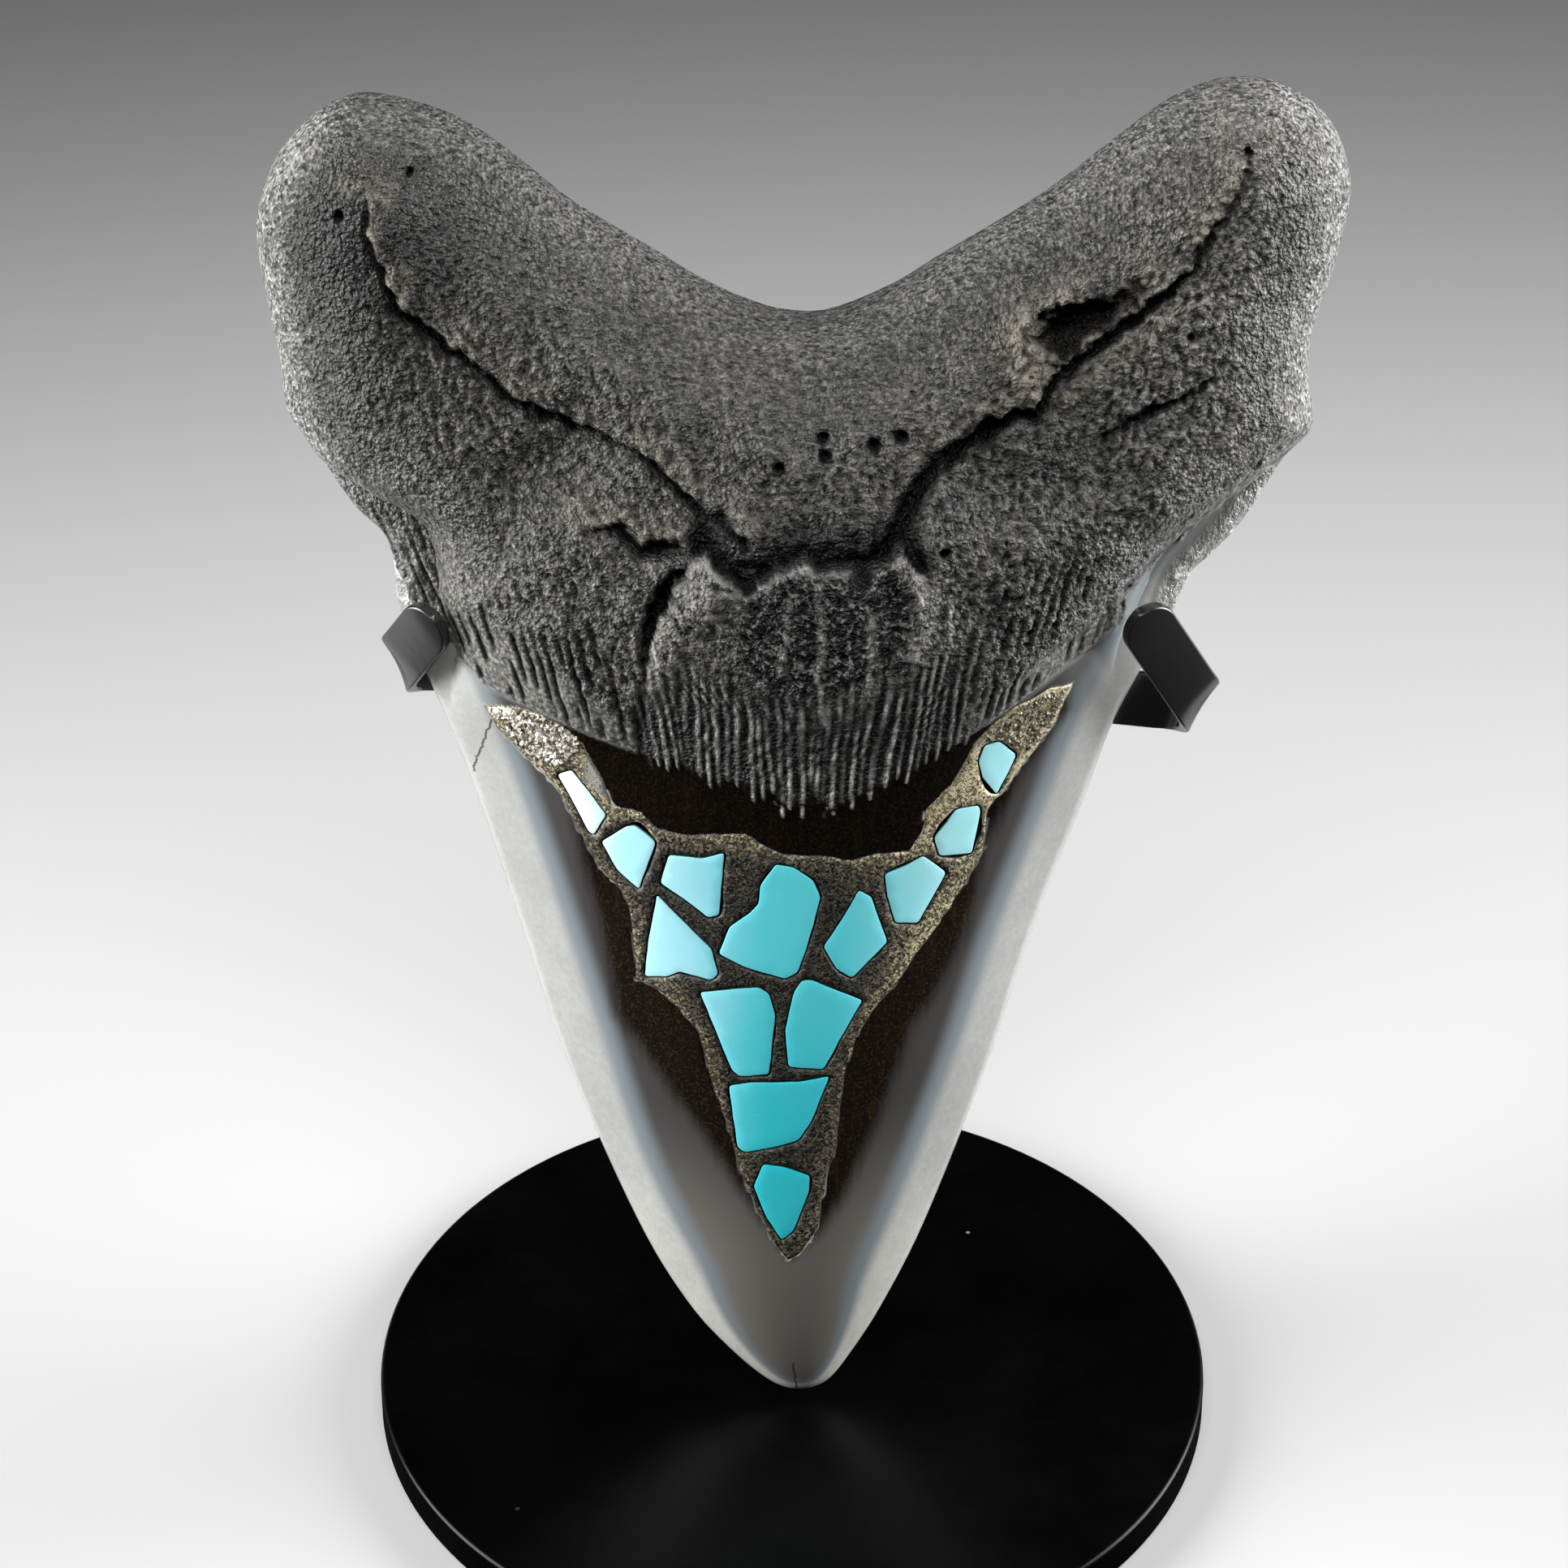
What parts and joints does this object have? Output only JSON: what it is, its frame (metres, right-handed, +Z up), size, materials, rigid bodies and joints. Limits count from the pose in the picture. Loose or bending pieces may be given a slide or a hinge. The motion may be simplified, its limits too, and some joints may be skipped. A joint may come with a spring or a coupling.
{
  "type": "megalodon tooth on a stand",
  "caption": "Fossil shark tooth with a rough root and a polished crown inlaid with turquoise chips, held leaning back by a bent metal strip and post on a round black base.",
  "frame": {"origin": "centre of the round base's underside", "axes": "+Z up; the tooth's inlaid display face looks along -Y and up, its root is at the top and its tip at the bottom; +X is the viewer's right"},
  "size_m": [0.1043, 0.0857, 0.1311],
  "materials": {
    "fossil_tooth": "rough grey root, polished dark brown and blue-grey crown with pale edges",
    "pyrite_bed": "pyrite sand set in dark resin, polished flush",
    "turquoise": "polished",
    "black_stand": "satin black"
  },
  "bodies": {
    "root": {"tooth": "fossil_tooth", "inlay_bed": "pyrite_bed", "turquoise_01": "turquoise", "turquoise_02": "turquoise", "turquoise_03": "turquoise", "turquoise_04": "turquoise", "turquoise_05": "turquoise", "turquoise_06": "turquoise", "turquoise_07": "turquoise", "turquoise_08": "turquoise", "turquoise_09": "turquoise", "turquoise_10": "turquoise", "turquoise_11": "turquoise", "turquoise_12": "turquoise", "turquoise_13": "turquoise", "holder_strip": "black_stand", "post": "black_stand", "base": "black_stand"}
  },
  "joints": []
}
